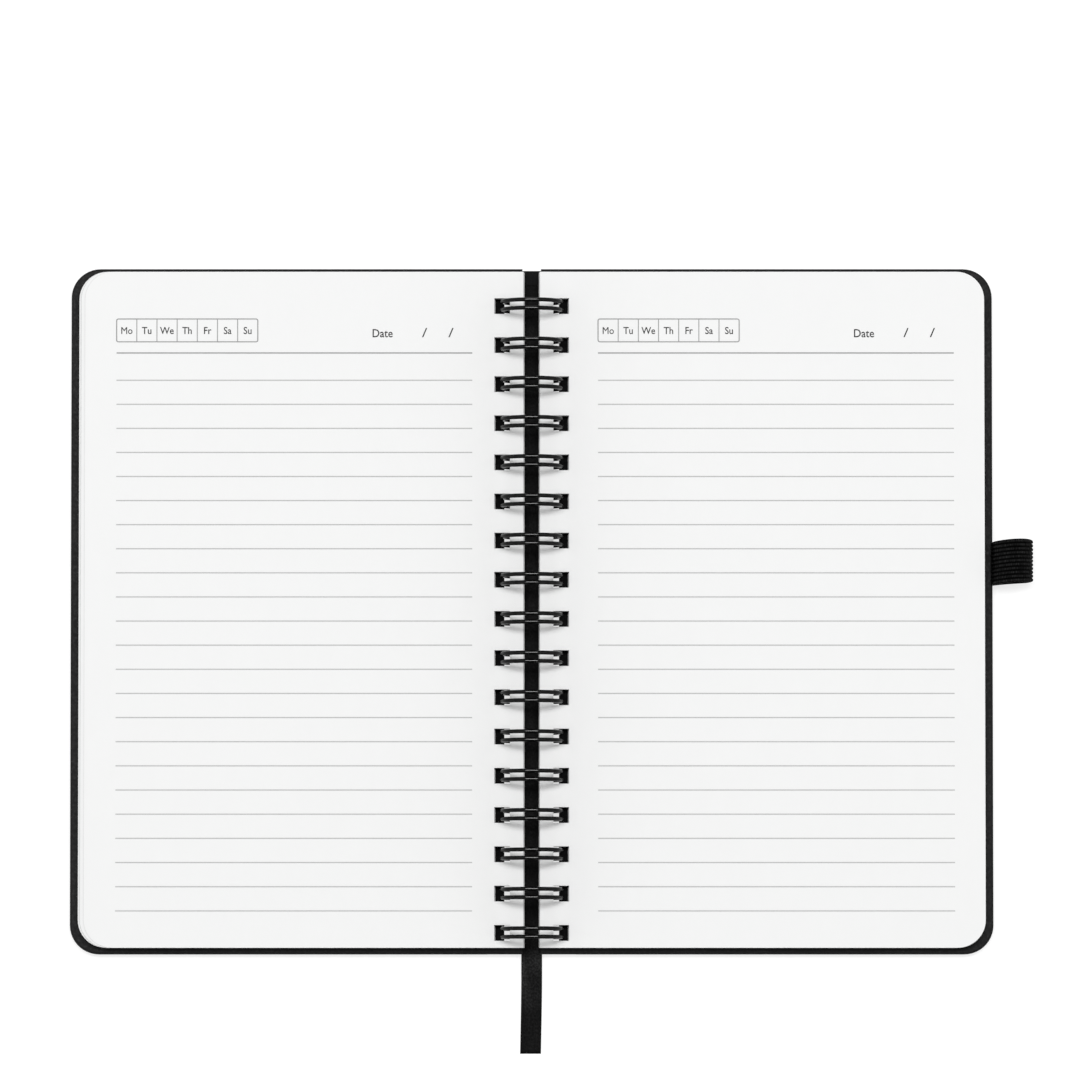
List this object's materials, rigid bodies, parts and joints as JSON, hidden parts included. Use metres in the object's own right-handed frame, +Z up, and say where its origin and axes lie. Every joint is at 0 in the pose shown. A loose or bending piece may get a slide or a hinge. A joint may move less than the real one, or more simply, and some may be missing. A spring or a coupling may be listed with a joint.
{
  "type": "pocket notebook",
  "caption": "Wire-bound hardcover pocket notebook lying open, with ruled dated leaves, a ribbon bookmark and an elastic pen loop.",
  "frame": {"origin": "centre of the open notebook's footprint, on the table; the ring axis is 4.35 mm to the left of it because the pen loop counts", "axes": "+X to the right across the open spread, from the front cover to the back cover; +Y along the spine to the head of the page; +Z up from the table, and the shortest extent"},
  "size_m": [0.2082, 0.1698, 0.0138],
  "materials": {
    "cover_skin": "matt fine-grained leatherette",
    "greyboard": "matt",
    "liner_paper": "matt black end paper",
    "leaf_paper": "smooth uncoated",
    "coated_wire": "satin black nylon coat",
    "elastic": "ribbed woven elastic",
    "ribbon": "satin woven"
  },
  "bodies": {
    "back_cover": {"back_board": "greyboard", "back_cover_skin": "cover_skin", "back_liner": "liner_paper", "wire_binding": "coated_wire", "pen_loop": "elastic", "ribbon_bookmark": "ribbon", "ribbon_tab": "liner_paper"},
    "front_cover": {"front_board": "greyboard", "front_cover_skin": "cover_skin", "front_liner": "liner_paper"},
    "left_stack": {"left_leaves": "leaf_paper"},
    "right_stack": {"right_leaves": "leaf_paper"},
    "left_leaf_1_body": {"left_leaf_1": "leaf_paper"},
    "right_leaf_1_body": {"right_leaf_1": "leaf_paper"},
    "left_leaf_2_body": {"left_leaf_2": "leaf_paper"},
    "right_leaf_2_body": {"right_leaf_2": "leaf_paper"},
    "left_leaf_3_body": {"left_leaf_3": "leaf_paper"},
    "right_leaf_3_body": {"right_leaf_3": "leaf_paper"},
    "left_leaf_4_body": {"left_leaf_4": "leaf_paper"},
    "right_leaf_4_body": {"right_leaf_4": "leaf_paper"}
  },
  "joints": [
    {"name": "front_cover_turn", "type": "hinge", "parent": "back_cover", "child": "front_cover", "pos_m": [-0.00435, 0, 0.007], "axis": [0, 1, 0], "range_deg": [0, 180]},
    {"name": "left_stack_turn", "type": "hinge", "parent": "front_cover", "child": "left_stack", "pos_m": [-0.00435, 0, 0.007], "axis": [0, 1, 0], "range_deg": [0, 180]},
    {"name": "right_stack_turn", "type": "hinge", "parent": "back_cover", "child": "right_stack", "pos_m": [-0.00435, 0, 0.007], "axis": [0, -1, 0], "range_deg": [0, 180]},
    {"name": "left_leaf_4_turn", "type": "hinge", "parent": "left_stack", "child": "left_leaf_4_body", "pos_m": [-0.00435, 0, 0.007], "axis": [0, 1, 0], "range_deg": [0, 180]},
    {"name": "left_leaf_3_turn", "type": "hinge", "parent": "left_leaf_4_body", "child": "left_leaf_3_body", "pos_m": [-0.00435, 0, 0.007], "axis": [0, 1, 0], "range_deg": [0, 180]},
    {"name": "left_leaf_2_turn", "type": "hinge", "parent": "left_leaf_3_body", "child": "left_leaf_2_body", "pos_m": [-0.00435, 0, 0.007], "axis": [0, 1, 0], "range_deg": [0, 180]},
    {"name": "left_leaf_1_turn", "type": "hinge", "parent": "left_leaf_2_body", "child": "left_leaf_1_body", "pos_m": [-0.00435, 0, 0.007], "axis": [0, 1, 0], "range_deg": [0, 180]},
    {"name": "right_leaf_4_turn", "type": "hinge", "parent": "right_stack", "child": "right_leaf_4_body", "pos_m": [-0.00435, 0, 0.007], "axis": [0, -1, 0], "range_deg": [0, 180]},
    {"name": "right_leaf_3_turn", "type": "hinge", "parent": "right_leaf_4_body", "child": "right_leaf_3_body", "pos_m": [-0.00435, 0, 0.007], "axis": [0, -1, 0], "range_deg": [0, 180]},
    {"name": "right_leaf_2_turn", "type": "hinge", "parent": "right_leaf_3_body", "child": "right_leaf_2_body", "pos_m": [-0.00435, 0, 0.007], "axis": [0, -1, 0], "range_deg": [0, 180]},
    {"name": "right_leaf_1_turn", "type": "hinge", "parent": "right_leaf_2_body", "child": "right_leaf_1_body", "pos_m": [-0.00435, 0, 0.007], "axis": [0, -1, 0], "range_deg": [0, 180]}
  ]
}
